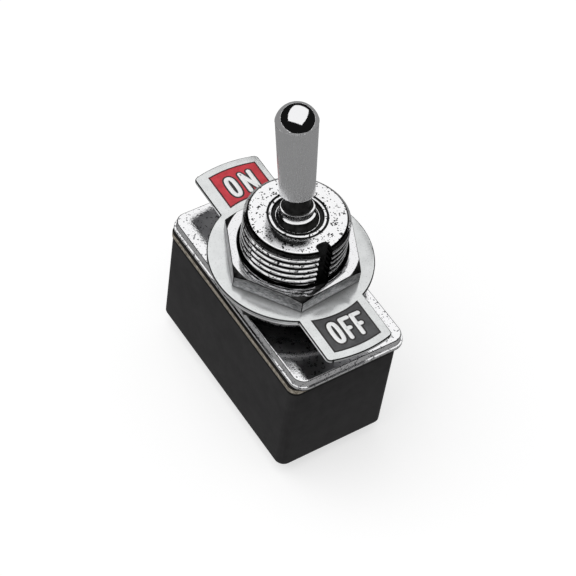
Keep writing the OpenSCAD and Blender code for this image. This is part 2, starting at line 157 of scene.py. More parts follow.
def shell_from(name, rings, sharp_angle):
    """A piece of the switch's body from closed rings in millimetres, the last of which meets the first."""
    points = np.array(rings) * MM
    faces = grid_faces(len(points), points.shape[1], close_rows=True, close_columns=True)
    piece = merged_by_distance(piece_from(name, points, faces, "switch_body"))
    piece.data.set_sharp_from_angle(angle=np.radians(sharp_angle))
    return piece


def measured(items, attribute, width=1, kind=np.float32):
    """One attribute of all points or faces of a mesh, as an array with a row for each."""
    values = np.empty(len(items) * width, kind)
    items.foreach_get(attribute, values)
    return values.reshape(-1, width).squeeze()


def on_circle(angle, radius=1.0):
    """Flat points round a circle: radius times the angle's cosine, and radius times its sine."""
    return np.column_stack([radius * np.cos(angle), radius * np.sin(angle)])


def at_height(flat, z):
    """Flat points as a row of a grid, all at the height z."""
    return np.column_stack([flat, np.full(len(flat), z)])


# %% [markdown]
# A CAD solid has perfectly sharp edges, and no real edge is that sharp. Where a
# solid's shape is right, a copy of its mesh gets its loose triangles joined, its
# flat areas cleared of needless edges and a narrow bevel, which catches the
# light. The copy then stands for the node. A piece whose edges have a material
# of their own takes it as its third.

# %% A copy of a solid with softened edges
EDGE_SLOT = 2


def softened(node, width, angle=28, segments=2, edge_slot=-1, clamp=True):
    """Copy of a CAD node whose edges sharper than an angle get a bevel, its width in millimetres.
    The bevel takes the material in the edge slot, where one is given. Clamping holds the bevel
    back where edges are short, which an outline of many short edges doesn't need."""
    work = bmesh.new()
    work.from_mesh(nodes[node].data)
    bmesh.ops.remove_doubles(work, verts=work.verts, dist=WELD / 2)
    bmesh.ops.dissolve_limit(work, angle_limit=np.radians(0.6), verts=work.verts, edges=work.edges)
    mesh = bpy.data.meshes.new(node + "_soft")
    work.to_mesh(mesh)
    work.free()
    mesh.shade_smooth()
    piece = placed(mesh.name, mesh)
    bevel = piece.modifiers.new("edge", "BEVEL")
    bevel.width, bevel.segments = width * MM, segments
    bevel.limit_method, bevel.angle_limit = "ANGLE", np.radians(angle)
    bevel.harden_normals = True
    bevel.use_clamp_overlap = clamp
    bevel.material = edge_slot
    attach(piece, "switch_body")
    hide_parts(node)
    print(f"{piece.name}: {len(mesh.polygons)} faces before its bevel")
    return piece


# %% [markdown]
# The cover is pressed from bright sheet, so its top is flat and its rim turns
# down in a small round. Rings of points run round the plate: from the bushing's
# hole, which is a circle, out to a rectangle with round corners, over the rim,
# down the side, out over a narrow flange and back under the sheet.

# %% Cover plate
COVER_HOLE = 5.2
COVER_EDGE = 0.22
COVER_CORNER = 1.8
LEAST_CORNER = 0.3
FLANGE = 0.28
FLANGE_TOP = -0.95
COVER_SHEET = 0.8
COVER_POINTS = 128
cover_low, cover_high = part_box("cover_plate")
cover_length = (cover_high.x - cover_low.x) / MM
cover_width = (cover_high.y - cover_low.y) / MM
cover_bottom = cover_low.z / MM


def round_rectangle(length, width, corner, count):
    """Points on a rectangle with round corners, at equal angles of a circle that is
    pushed out to the sides: each corner takes a quarter of the points on its arc."""
    circle = on_circle(np.linspace(0, 2 * np.pi, count, endpoint=False) + np.pi / count)
    return np.sign(circle) * (length / 2 - corner, width / 2 - corner) + corner * circle


def cover_ring(inset, z):
    """The cover's outline moved in by inset, at height z."""
    corner = max(COVER_CORNER - inset, LEAST_CORNER)
    flat = round_rectangle(cover_length - 2 * inset, cover_width - 2 * inset, corner, COVER_POINTS)
    return at_height(flat, z)


def hole_ring(z):
    """The bushing's hole, with its points turned towards those of the outline."""
    outline = cover_ring(0, z)
    angle = np.arctan2(outline[:, 1], outline[:, 0])
    return at_height(on_circle(angle, COVER_HOLE), z)


# Each stretch of the cover's profile is a list of (inset, height).
roll = np.radians(np.linspace(90, 0, 9))
flat_top = [(FLANGE + COVER_EDGE + 0.03, 0)]
round_rim = [(FLANGE + COVER_EDGE * (1 - np.cos(a)), COVER_EDGE * (np.sin(a) - 1)) for a in roll]
side_foot = [(FLANGE, FLANGE_TOP + 0.06), (FLANGE - 0.04, FLANGE_TOP + 0.01)]
flange = [(0.05, FLANGE_TOP - 0.02), (0, FLANGE_TOP - 0.08), (0, cover_bottom + 0.12)]
lower_edge = [(0.06, cover_bottom), (0.5, cover_bottom)]
underside = [(COVER_SHEET, cover_bottom + 0.15), (COVER_SHEET, -COVER_SHEET)]
cover_profile = flat_top + round_rim + side_foot + flange + lower_edge + underside
cover_rings = [hole_ring(-COVER_SHEET), hole_ring(0)]
cover_rings += [cover_ring(inset, z) for inset, z in cover_profile]
cover = shell_from("cover_shell", cover_rings, 40)
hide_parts("cover_plate")

# %% [markdown]
# The bushing's thread is what the eye reads first on this part. Its depth at
# each point is a wave with flat crests, straight flanks and flat roots, and the
# wave's phase turns with the angle round the axis, which makes it a true helix.
# The keyway is part of the same outline: the columns of the grid leave the
# circle there and follow the slot's two walls and its hollow floor.

# %% Outline of the threaded bushing
ROD_RADIUS = 5.95
CREST_RADIUS = 6.3
THREAD_PITCH = 0.89
THREAD_DEPTH = 0.55
THREAD_FLAT = 0.14
THREAD_FADE = 0.15
THREAD_LOW = 5.7
BUSHING_TOP = 11.2
TOP_CHAMFER = 0.55
COLLAR_HEIGHT = 0.7
SLOT_HALF = 0.88
SLOT_FLOOR = ROD_RADIUS - 1.2
SLOT_ROUND = 0.35
ARC_COLUMNS = 230
WALL_COLUMNS = 5
FLOOR_COLUMNS = 8
SLOT_COLUMNS = 2 * WALL_COLUMNS + FLOOR_COLUMNS
chamfer_low = BUSHING_TOP - TOP_CHAMFER
chamfer_inner = CREST_RADIUS - TOP_CHAMFER


def thread_profile(phase):
    """Depth of the thread from its crest, 0 to 1, over one pitch: a triangle wave that is
    stretched and cut off, so that the crest and the root are flat and the flanks straight."""
    wave = np.abs((phase % 1.0) - 0.5) * 2
    return np.clip((wave - THREAD_FLAT) / (1 - 2 * THREAD_FLAT), 0, 1)


def bushing_outline(radius, slot_open):
    """Closed outline at one height. radius is an array over the arc's angles. The arc runs from
    one side of the slot right round to the other. Then it follows the slot's wall, its floor,
    which rises at both sides with the fourth power, and its other wall. Where the slot isn't
    open, it closes the circle."""
    start = np.arcsin(SLOT_HALF / ROD_RADIUS)
    angle = np.linspace(start, 2 * np.pi - start, ARC_COLUMNS)
    arc = on_circle(angle, radius)
    if not slot_open:
        rest = np.linspace(-start, start, SLOT_COLUMNS + 2)[1:-1]
        return np.vstack([arc, on_circle(rest, radius[-1])])
    (x_high, y_high), (x_low, y_low) = arc[0], arc[-1]
    corner_x = SLOT_FLOOR + SLOT_ROUND
    share = np.linspace(0, 1, WALL_COLUMNS + 1)[1:]
    side = np.linspace(-1, 1, FLOOR_COLUMNS + 2)[1:-1]
    down = np.column_stack([x_low + (corner_x - x_low) * share, np.full(WALL_COLUMNS, y_low)])
    level = np.column_stack([SLOT_FLOOR + SLOT_ROUND * side**4, side * abs(y_high)])
    rise = np.column_stack([x_high + (corner_x - x_high) * share[::-1], np.full(WALL_COLUMNS, y_high)])
    return np.vstack([arc, down, level, rise])


def bushing_ring(radius, z, slot_open=True):
    """One row of the bushing: its outline at height z, with the radius given as a number or an array."""
    return at_height(bushing_outline(np.broadcast_to(radius, ARC_COLUMNS), slot_open), z)


def threaded_radius(z):
    """Radius round the arc at height z: the phase of the thread falls by one turn per turn, and
    the thread runs out below the top chamfer and inside the nut's countersink."""
    turn_share = np.linspace(0, 1, ARC_COLUMNS)
    depth = THREAD_DEPTH * thread_profile(z / THREAD_PITCH - turn_share)
    depth *= np.clip((chamfer_low - z) / THREAD_FADE, 0, 1)
    return np.minimum(CREST_RADIUS - depth, ROD_RADIUS + z - THREAD_LOW)


print("turns of thread that show:", round((chamfer_low - THREAD_LOW) / THREAD_PITCH, 1))

# %% [markdown]
# The rows of the grid go up the outside, from the foot that is staked under the
# cover to the chamfer. They then go over the flat top and down the hole that
# holds the lever's ball, until the last row meets the first.

# %% Threaded bushing
# Each profile is a list of (radius, height). From the groove on, heights start at the top.
FOOT_PROFILE = [(4.4, -1.9), (5.9, -1.9), (5.9, -1.4), (5.2, -1.4), (5.2, 0)]
COLLAR_PROFILE = [(7.05, 0), (7.1, 0.05), (7.1, COLLAR_HEIGHT - 0.05), (7.05, COLLAR_HEIGHT)]
ROD_PROFILE = [(ROD_RADIUS, COLLAR_HEIGHT), (ROD_RADIUS, THREAD_LOW - 0.1)]
CHAMFER_PROFILE = [(CREST_RADIUS - d, chamfer_low + d) for d in (0, 0.05, TOP_CHAMFER - 0.12)]
CHAMFER_PROFILE += [(chamfer_inner + 0.03, BUSHING_TOP - 0.03), (chamfer_inner - 0.02, BUSHING_TOP)]
GROOVE_PROFILE = [(5.5, 0), (3.68, 0), (3.64, -0.02), (3.58, -0.2), (3.44, -0.2), (3.38, -0.03)]
LIP_PROFILE = [(3.35, -0.01), (3.12, -0.01)]
RECESS_PROFILE = [(3.08, -0.04), (3.04, -0.4), (2.64, -0.46), (2.6, -0.3)]
HOLE_PROFILE = [(2.58, -0.28), (2.53, -0.28), (2.5, -0.32), (2.5, -0.8)]
BORE_PROFILE = [(2.9, -1.6), (2.98, -2.2), (2.98, -4.7), (4.4, -12.9)]
RECESSES = ((3.38, 3.63), (2.61, 3.07))  # inner and outer radius of the two dark rings
RECESS_DEPTH = 0.5
ROWS_PER_TURN = 18
SPREAD = np.radians(12.5)
inner_angle = np.concatenate([
    np.linspace(SPREAD, 2 * np.pi - SPREAD, ARC_COLUMNS),
    np.linspace(-SPREAD, SPREAD, SLOT_COLUMNS + 2)[1:-1]])


def bore_ring(radius, z):
    """A plain circle inside the bushing, with the outline's columns spread past the slot. On the
    flat top it stays clear of the slot by stepping inwards over the slot's columns."""
    x, y = on_circle(inner_angle, radius).T
    over_slot = (np.arange(inner_angle.size) >= ARC_COLUMNS) & (radius > SLOT_FLOOR)
    x = np.where(over_slot, SLOT_FLOOR - 0.02, x)
    y = np.where(over_slot, np.clip(y, -SLOT_HALF, SLOT_HALF), y)
    return at_height(np.column_stack([x, y]), z)


thread_heights = np.arange(THREAD_LOW, chamfer_low, THREAD_PITCH / ROWS_PER_TURN)
top_profile = GROOVE_PROFILE + LIP_PROFILE + RECESS_PROFILE + HOLE_PROFILE + BORE_PROFILE
bushing_rows = [bushing_ring(r, z, slot_open=False) for r, z in FOOT_PROFILE + COLLAR_PROFILE]
bushing_rows += [bushing_ring(r, z) for r, z in ROD_PROFILE]
bushing_rows += [bushing_ring(threaded_radius(z), z) for z in thread_heights]
bushing_rows += [bushing_ring(r, z) for r, z in CHAMFER_PROFILE]
bushing_rows += [bore_ring(r, BUSHING_TOP + d) for r, d in top_profile]
bushing = shell_from("bushing_body", bushing_rows, 34)
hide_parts("threaded_bushing")


def recess_faces(mesh):
    """1 for each face that lies in the keyway or in one of the recesses of the rim, 0 for the rest."""
    x, y, z = measured(mesh.polygons, "center", 3).T / MM
    up_share = measured(mesh.polygons, "normal", 3)[:, 2]
    radius = np.hypot(x, y)
    in_slot = (np.abs(y) < SLOT_HALF + 0.01) & (x > SLOT_FLOOR - 0.01) & (up_share < 0.9)
    in_slot &= (z > COLLAR_HEIGHT) & (radius < CREST_RADIUS - 0.02)
    in_rim = np.zeros(len(radius), bool)
    for inner, outer in RECESSES:
        in_rim |= (radius > inner) & (radius < outer) & (z > BUSHING_TOP - RECESS_DEPTH)
    return (in_slot | in_rim).astype(int)


bushing_recess = recess_faces(bushing.data)
print("faces in the keyway and recesses:", bushing_recess.sum())

# %% [markdown]
# The lever is turned from bar: one profile goes round one axis. The profile is
# drawn upright and then leans with the lever, about the pivot, to the ON side.
# The bat ends in a full dome. At its foot it steps in to a neck that stands on
# a collar, and below the collar comes the ball that the bushing holds. Each
# stretch has its own finish: polished or satin, and where it lies in shade it is
# painted near black as shade.

# %% Profile of the lever
LEVER_TILT = np.radians(11.5)
PIVOT = np.array([0, 0, 9.0])
SIDE_PLAY = np.array([0, 0.2, 0])
LEVER_RIM = 15.4
DOME_HEIGHT = 2.0
END_RADIUS = 2.5
FOOT_RADIUS = 2.1
FOOT = 5.0
FOOT_ROUND = 0.4
NECK_RADIUS = 1.6
COLLAR_TOP = 3.25
BALL_RADIUS = 2.9
SPRING_SEAT = -4.5
BARREL_END = -15
POLISHED, SATIN, SHADED = 0, 1, 2


def arc_profile(centre, radius, start, end, count):
    """Part of a circle in the profile, from one angle to another, in degrees."""
    return list(centre + on_circle(np.radians(np.linspace(start, end, count)), radius))


def straight(start, end, count):
    """Evenly spaced points of the profile between two points, without the first."""
    return list(np.linspace(start, end, count + 1)[1:])


# The dome is a part of a sphere through the rim, as tall as given, and ends just above its edge.
dome_radius = (END_RADIUS**2 + DOME_HEIGHT**2) / (2 * DOME_HEIGHT)
dome_centre = LEVER_RIM + DOME_HEIGHT - dome_radius
dome_edge = np.degrees(np.arctan2(LEVER_RIM - dome_centre, END_RADIUS))
dome = arc_profile((0, dome_centre), dome_radius, 90, dome_edge + 1.5, 26)
lip_radius = END_RADIUS + 0.012
lip = [(lip_radius, LEVER_RIM - 0.02), (lip_radius, LEVER_RIM - 0.1), (END_RADIUS - 0.01, LEVER_RIM - 0.13)]
bat_side = straight(lip[-1], (FOOT_RADIUS, FOOT + FOOT_ROUND), 24)
foot_round = arc_profile((FOOT_RADIUS - FOOT_ROUND, FOOT + FOOT_ROUND), FOOT_ROUND, -8, -88, 8)
under_foot = [(NECK_RADIUS + 0.06, FOOT), (NECK_RADIUS, FOOT - 0.06)]
neck = straight(under_foot[-1], (NECK_RADIUS, COLLAR_TOP + 0.08), 4)
neck += [(NECK_RADIUS + 0.06, COLLAR_TOP), (1.9, COLLAR_TOP)]
collar_top = [(2.02, COLLAR_TOP - 0.01), (2.08, COLLAR_TOP - 0.03), (2.1, COLLAR_TOP - 0.1)]
collar_side = [(2.08, COLLAR_TOP - 0.16), (1.92, 2.4)]
collar_foot = [(1.93, 2.3), (2.0, 2.26), (2.18, 2.22), (2.24, 2.16), (2.24, 2.06)]
ball = arc_profile((0, 0), BALL_RADIUS, 39, -46, 24)
barrel = [(1.9, -2.35), (1.9, BARREL_END + 0.1), (1.8, BARREL_END), (1.25, BARREL_END)]
barrel += [(1.15, BARREL_END + 0.1), (1.15, SPRING_SEAT - 0.1), (1.1, SPRING_SEAT), (0, SPRING_SEAT)]
lever_parts = [(dome + lip, POLISHED), (bat_side + foot_round, SATIN), (under_foot + neck, SHADED),
               (collar_top, POLISHED), (collar_side, SATIN), (collar_foot, POLISHED),
               (ball, SHADED), (barrel, POLISHED)]
lever_profile = [point for part, finish in lever_parts for point in part]
print("lever:", len(lever_profile), "points in its profile, dome radius", round(dome_radius, 2), "mm")

# %% Lever
LEVER_COLUMNS = 96


def lathe(profile, columns):
    """Grid of a profile of (radius, height) pairs turned round the upright axis."""
    angle = np.linspace(0, 2 * np.pi, columns, endpoint=False)
    radius, height = np.array(profile).T
    x = radius[:, None] * np.cos(angle)
    y = radius[:, None] * np.sin(angle)
    return np.stack([x, y, np.broadcast_to(height[:, None], x.shape)], axis=-1)


def leaning(points):
    """Upright points about the pivot, leaned towards -X and put at the pivot's height, in metres."""
    c, s = np.cos(LEVER_TILT), np.sin(LEVER_TILT)
    x, y, z = np.moveaxis(points, -1, 0)
    return (np.stack([x * c - z * s, y, x * s + z * c], axis=-1) + PIVOT + SIDE_PLAY) * MM


lever_points = leaning(lathe(lever_profile, LEVER_COLUMNS))
lever_faces = grid_faces(len(lever_profile), LEVER_COLUMNS, close_columns=True)
lever = piece_from("lever_turned", lever_points, lever_faces, "lever")
row_finish = np.concatenate([np.full(len(part), finish) for part, finish in lever_parts])[1:]
lever.data.polygons.foreach_set("material_index", np.repeat(row_finish, LEVER_COLUMNS))
merged_by_distance(lever)
lever.data.set_sharp_from_angle(angle=np.radians(40))
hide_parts("bat_lever")
lever_finish = measured(lever.data.polygons, "material_index", kind=np.int32)
print("satin faces on the lever:", (lever_finish == SATIN).sum())

# %% [markdown]
# The coil spring sits in the lever's barrel and gets shorter as the plunger
# slides in. Here its copy moves with the lever, and its length along the lever is worked out.

# %% Spring that moves with the lever
lever_axis = np.array([-np.sin(LEVER_TILT), 0, np.cos(LEVER_TILT)])
coil = placed("spring_coil", nodes["plunger_spring"].data.copy())
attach(coil, "lever")
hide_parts("plunger_spring")
coil_length = np.ptp(measured(coil.data.vertices, "co", 3) @ lever_axis) / MM
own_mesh(coil)

# %% [markdown]
# Nuts, washer, plate, case, board, yoke, tabs and screws have the right shape
# already, so their copies only get soft edges, each as wide as its trade
# leaves it: a moulding more, a pressed sheet less.

# %% Softened solids
case = softened("case_body", 0.35, segments=3)
board = softened("top_insulator", 0.06)
lower_nut = softened("lower_nut", 0.09)
top_nut = softened("top_nut", 0.09, angle=20, edge_slot=EDGE_SLOT)
washer = softened("lock_washer", 0.18, edge_slot=EDGE_SLOT)
plate = softened("indicator_plate", 0.12, edge_slot=EDGE_SLOT, clamp=False)
common_tab = softened("common_terminal", 0.08)
line_tab = softened("line_terminal", 0.08)
common_screw = softened("common_screw", 0.12)
line_screw = softened("line_screw", 0.12)
yoke = softened("clamp_yoke", 0.08)

# %% [markdown]
# The plate's two tabs carry a field of enamel each, between two arcs about the
# bushing's axis. A field is a thin slab on the plate, and a lower and slightly
# larger slab in a dark colour round it makes the outline of the print.

# %% Enamel fields on the plate
PLATE_TOP = 4.0
PLATE_TURN = np.radians(-1.3)
BORDER = 0.2
SINK = 0.02
FIELD_RISE = 0.03
BORDER_RISE = 0.012
# Side of the tab, inner and outer radius, and the two sides' places along Y.
ON_FIELD = (-1, 9.94, 14.73, -2.61, 3.45)
OFF_FIELD = (1, 10.07, 14.68, -2.91, 3.13)


def on_plate(points):
    """Points in the plate's own plane, turned with it and put on its top face, in metres."""
    c, s = np.cos(PLATE_TURN), np.sin(PLATE_TURN)
    x, y, z = np.moveaxis(points, -1, 0)
    return np.stack([x * c - y * s, x * s + y * c, z + PLATE_TOP], axis=-1) * MM


def enamel_field(name, place, grow=0.0, rise=FIELD_RISE):
    """Thin slab whose inner and outer edges are arcs about the bushing's axis and whose sides
    are straight, larger all round by grow. Its rings are the outline, drawn in to the middle
    at the bottom and again at the top."""
    side, inner, outer, y_low, y_high = place
    inner, outer, y_low, y_high = inner - grow, outer + grow, y_low - grow, y_high + grow
    y = np.linspace(y_low, y_high, 24)
    edge_in = np.column_stack([side * np.sqrt(inner**2 - y**2), y])
    edge_out = np.column_stack([side * np.sqrt(outer**2 - y**2), y])
    loop = np.concatenate([edge_in, edge_out[::-1]])
    middle = np.array([side * (inner + outer) / 2, (y_low + y_high) / 2])
    steps = [(0, -SINK), (1, -SINK), (1, rise / 2), (0.98, rise), (0.1, rise), (0, rise)]
    rings = np.array([at_height(middle + (loop - middle) * scale, z) for scale, z in steps])
    faces = grid_faces(len(rings), len(loop), close_columns=True)
    return merged_by_distance(piece_from(name, on_plate(rings), faces, "switch_body"))


on_field = enamel_field("on_field", ON_FIELD)
off_field = enamel_field("off_field", OFF_FIELD)
on_border = enamel_field("on_border", ON_FIELD, BORDER, BORDER_RISE)
off_border = enamel_field("off_border", OFF_FIELD, BORDER, BORDER_RISE)

# %% [markdown]
# ON and OFF are strokes with round ends: a low bead of half-elliptic section
# carried along each stroke. A slightly wider, lower bead in black under each
# stroke gives the letters the dark outline of the print. Font text would have
# to be flattened and fitted, and its strokes wouldn't have these round ends.

# %% Letters on the plate
O_POWER = 0.72
OUTLINE = 0.2


def bead(path, half_width, height, base, closed=False, sides=10):
    """Low bead carried along a path: at each point a half ellipse stands across the path, and at
    open ends it shrinks to a point on a quarter circle, which rounds the stroke's end."""
    if closed:
        ahead, behind = np.roll(path, -1, 0), np.roll(path, 1, 0)
        size = np.ones(len(path))
        line = path
    else:
        steps = np.sin(np.linspace(0, np.pi / 2, 6))
        first, last = path[0] - path[1], path[-1] - path[-2]
        first, last = first / np.linalg.norm(first), last / np.linalg.norm(last)
        head = path[0] + first * half_width * steps[1:, None]
        tail = path[-1] + last * half_width * steps[1:, None]
        line = np.vstack([head[::-1], path, tail])
        fade = np.sqrt(np.maximum(1 - steps[1:] ** 2, 0))
        size = np.concatenate([fade[::-1], np.ones(len(path)), fade])
        ahead = np.vstack([line[1:], line[-1] + last])
        behind = np.vstack([line[0] + first, line[:-1]])
    along = ahead - behind
    along /= np.linalg.norm(along, axis=1)[:, None]
    across = np.column_stack([-along[:, 1], along[:, 0]])
    angle = np.linspace(0, 2 * np.pi, sides, endpoint=False)
    out = half_width * size[:, None] * np.cos(angle)
    rise = np.where(np.sin(angle) > 0, height, 0.01) * np.sin(angle) * size[:, None]
    x = line[:, 0, None] + across[:, 0, None] * out
    y = line[:, 1, None] + across[:, 1, None] * out
    return np.stack([x, y, base + rise], axis=-1)


# Each stroke runs between points in a box 1 wide and 1 high. The O is a closed stroke: a circle
# whose cosine and sine are raised to a power below 1, which squares it.
circle = on_circle(np.linspace(0, 2 * np.pi, 40, endpoint=False))
STROKES = {
    "O": [0.5 + 0.5 * np.sign(circle) * np.abs(circle) ** O_POWER],
    "N": [[(0, 0), (0, 1)], [(0, 1), (1, 0)], [(1, 0), (1, 1)]],
    "F": [[(0, 0), (0, 1)], [(0, 1), (1, 1)], [(0, 0.48), (0.6, 0.48)]],
}


def word(name, letters, foot, top, stroke):
    """Beads for a word on the plate that reads along +Y. Each letter has its start and width along
    Y, and all stand between the foot and the top along X."""
    for label, half, rise, base in (("face", stroke, 0.07, 0.04), ("edge", stroke + OUTLINE, 0.025, 0.03)):
        points, faces, offset = [], [], 0
        for letter, start, width in letters:
            for path in np.array(STROKES[letter], float):
                flat = np.column_stack([foot + (top - foot) * path[:, 1], start + width * path[:, 0]])
                shape = bead(flat, half, rise, base, closed=letter == "O")
                points.append(shape.reshape(-1, 3))
                faces.append(grid_faces(*shape.shape[:2], letter == "O", True) + offset)
                offset += len(points[-1])
        piece = piece_from(f"{name}_{label}", on_plate(np.vstack(points)), np.vstack(faces),
                           "switch_body", 60)
        yield merged_by_distance(piece, WELD / 5)


on_face, on_edge = word("on_letters", [("O", -1.28, 0.95), ("N", 0.87, 1.2)], -10.7, -13.45, 0.285)
off_face, off_edge = word("off_letters", [("O", -1.85, 0.9), ("F", -0.1, 0.93), ("F", 1.42, 0.95)],
                          13.6, 10.87, 0.28)

# %% [markdown]
# Finishes. Four effects are used by several of them, so each is a shader group:
# fine grain, handling marks, dark specks and drawn streaks. A group reads a
# point, here always in Object coordinates, and only gives masks and heights.
# The shader and its fixed numbers stay in the material.

# %% Helpers for shader nodes
def new_group(name, inputs, outputs):
    """A shader group with a vector input called Point, number inputs, the first of which is a size
    in millimetres, and outputs. Returns the group, both sets of sockets and the texture scale."""
    group = bpy.data.node_groups.new(name, "ShaderNodeTree")
    group.interface.new_socket("Point", in_out="INPUT", socket_type="NodeSocketVector")
    for way, labels in (("INPUT", inputs), ("OUTPUT", outputs)):
        for label in labels:
            group.interface.new_socket(label, in_out=way, socket_type="NodeSocketFloat")
    given, result = group.nodes.new("NodeGroupInput").outputs, group.nodes.new("NodeGroupOutput").inputs
    return group, given, result, maths(group, "DIVIDE", 1 / MM, given[1])


def add(tree, kind, **inputs):
    """A node of a kind. Its inputs are set to numbers or linked to sockets. An input is named
    with _ for each space, or as i and its place in the node's list."""
    node = tree.nodes.new(kind)
    for label, source in inputs.items():
        by_place = label[0] == "i" and label[1:].isdigit()
        socket = node.inputs[int(label[1:]) if by_place else label.replace("_", " ")]
        if isinstance(source, bpy.types.NodeSocket):
            tree.links.new(source, socket)
        else:
            socket.default_value = source
    return node


def maths(tree, operation, a, b=0.0):
    """One Math node's output."""
    node = add(tree, "ShaderNodeMath", i0=a, i1=b)
    node.operation = operation
    return node.outputs[0]


def remap(tree, value, low, high, to_low=0.0, to_high=1.0):
    """Value carried from one range to another, held at its ends."""
    ends = dict(From_Min=low, From_Max=high, To_Min=to_low, To_Max=to_high)
    return add(tree, "ShaderNodeMapRange", Value=value, **ends).outputs[0]


def noise(tree, point, scale, detail, roughness=0.5):
    """Cloudy noise round 0.5 at each point."""
    node = add(tree, "ShaderNodeTexNoise", Vector=point, Scale=scale, Detail=detail, Roughness=roughness)
    return node.outputs["Fac"]


def cell_distance(tree, point, scale):
    """Distance to the nearest of many scattered points."""
    return add(tree, "ShaderNodeTexVoronoi", Vector=point, Scale=scale).outputs["Distance"]


# %% Shader groups
grain, given, result, scale = new_group("fine_grain", ["Size", "Coarse"], ["Height", "Mottle"])
fine = noise(grain, given["Point"], scale, 3.0, 0.6)
coarse = noise(grain, given["Point"], maths(grain, "DIVIDE", scale, 7.0), 4.0, 0.6)
height = maths(grain, "ADD", fine, maths(grain, "MULTIPLY", coarse, given["Coarse"]))
grain.links.new(height, result["Height"])
grain.links.new(remap(grain, coarse, 0.35, 0.65), result["Mottle"])

marks, given, result, scale = new_group("handling_marks", ["Size"], ["Smudge", "Pits"])
cloud = noise(marks, given["Point"], scale, 5.0, 0.65)
marks.links.new(remap(marks, cloud, 0.45, 0.7), result["Smudge"])
cells = cell_distance(marks, given["Point"], maths(marks, "MULTIPLY", scale, 9.0))
marks.links.new(remap(marks, cells, 0.1, 0.24, 1.0, 0.0), result["Pits"])

specks, given, result, scale = new_group("specks", ["Size", "Share"], ["Mask"])
patches = noise(specks, given["Point"], maths(specks, "MULTIPLY", scale, 0.45), 2.0)
reach = maths(specks, "MULTIPLY", remap(specks, patches, 0.35, 0.65), given["Share"])
inside = maths(specks, "SUBTRACT", reach, cell_distance(specks, given["Point"], scale))
specks.links.new(remap(specks, inside, 0.0, 0.08), result["Mask"])

streaks, given, result, scale = new_group("drawn_streaks", ["Width", "Stretch"], ["Streak"])
x, y, z = add(streaks, "ShaderNodeSeparateXYZ", Vector=given["Point"]).outputs
stretched = add(streaks, "ShaderNodeCombineXYZ", X=x, Y=y, Z=maths(streaks, "DIVIDE", z, given["Stretch"]))
streaks.links.new(noise(streaks, stretched.outputs[0], scale, 3.0, 0.6), result["Streak"])
print("shader groups:", [group.name for group in bpy.data.node_groups])

# %% [markdown]
# A material is one shader. Each of its inputs is a fixed number on its own
# socket, or is fed by masks and heights, where it changes over the surface.

# %% Material helpers
def new_material(name, **fixed):
    """A material with a Principled shader whose fixed numbers are set on its own sockets. Returns
    the material, its tree, its shader and the point on the piece in Object coordinates."""
    material = bpy.data.materials.new(name)
    material.use_nodes = True
    tree = material.node_tree
    shader = tree.nodes["Principled BSDF"]
    for label, value in fixed.items():
        shader.inputs[label.replace("_", " ")].default_value = value
    point = tree.nodes.new("ShaderNodeTexCoord").outputs["Object"]
    return material, tree, shader, point


def use_group(tree, group, point, **values):
    """The outputs of a group placed in a material's tree, reading the point, with its own numbers."""
    node = tree.nodes.new("ShaderNodeGroup")
    node.node_tree = group
    tree.links.new(point, node.inputs["Point"])
    for label, value in values.items():
        node.inputs[label].default_value = value
    return node.outputs


def feed(shader, label, source):
    """Links a value or colour that changes over the surface to one of the shader's inputs."""
    shader.id_data.links.new(source, shader.inputs[label])


def grey(level):
    """A neutral colour."""
    return (level, level, level)


def mixed(tree, mask, first, second):
    """Colour that goes from the first to the second where the mask goes from 0 to 1."""
    node = tree.nodes.new("ShaderNodeMix")
    node.data_type = "RGBA"
    tree.links.new(mask, node.inputs[0])
    for index, value in ((6, first), (7, second)):
        if isinstance(value, bpy.types.NodeSocket):
            tree.links.new(value, node.inputs[index])
        else:
            node.inputs[index].default_value = (*value, 1)
    return node.outputs[2]


def bump(tree, shader, height, depth):
    """Feeds a height to the shader's normal. Depth is what a height of 1 means, in millimetres."""
    feed(shader, "Normal", add(tree, "ShaderNodeBump", Height=height, Distance=depth * MM).outputs[0])


def height_of(tree, point):
    """Height above the part's origin, in millimetres."""
    return maths(tree, "DIVIDE", add(tree, "ShaderNodeSeparateXYZ", Vector=point).outputs[2], MM)


def radius_of(tree, point):
    """Distance from the part's upright axis, in millimetres."""
    x, y, z = add(tree, "ShaderNodeSeparateXYZ", Vector=point).outputs
    square = maths(tree, "ADD", maths(tree, "MULTIPLY", x, x), maths(tree, "MULTIPLY", y, y))
    return maths(tree, "DIVIDE", maths(tree, "SQRT", square), MM)


def grained(name, metallic, roughness, size, coarse, depth, tones=None, **fixed):
    """A finish of grain alone: the grain has a size and a coarse share, its height is a bump of a
    depth, and the colour wanders between the two tones, where they are given."""
    material, tree, shader, point = new_material(name, Metallic=metallic, Roughness=roughness, **fixed)
    texture = use_group(tree, grain, point, Size=size, Coarse=coarse)
    if tones:
        feed(shader, "Base Color", mixed(tree, texture["Mottle"], *tones))
    bump(tree, shader, texture["Height"], depth)
    return material


def dress(material, *pieces):
    """Gives the pieces this one material."""
    for piece in pieces:
        dress_by_face(piece, None, material)


def dress_by_face(piece, choice, *materials):
    """Gives a piece its materials, and each face the one whose number is its choice."""
    piece.data.materials.clear()
    for material in materials:
        piece.data.materials.append(material)
    if choice is not None:
        piece.data.polygons.foreach_set("material_index", np.asarray(choice, np.int32))
    print(f"{piece.name}:", ", ".join(material.name for material in materials))


def facing(piece, way, least=0.5):
    """1 for each face of a piece whose normal leans towards a direction, 0 for the rest."""
    return (measured(piece.data.polygons, "normal", 3) @ np.array(way) > least).astype(int)
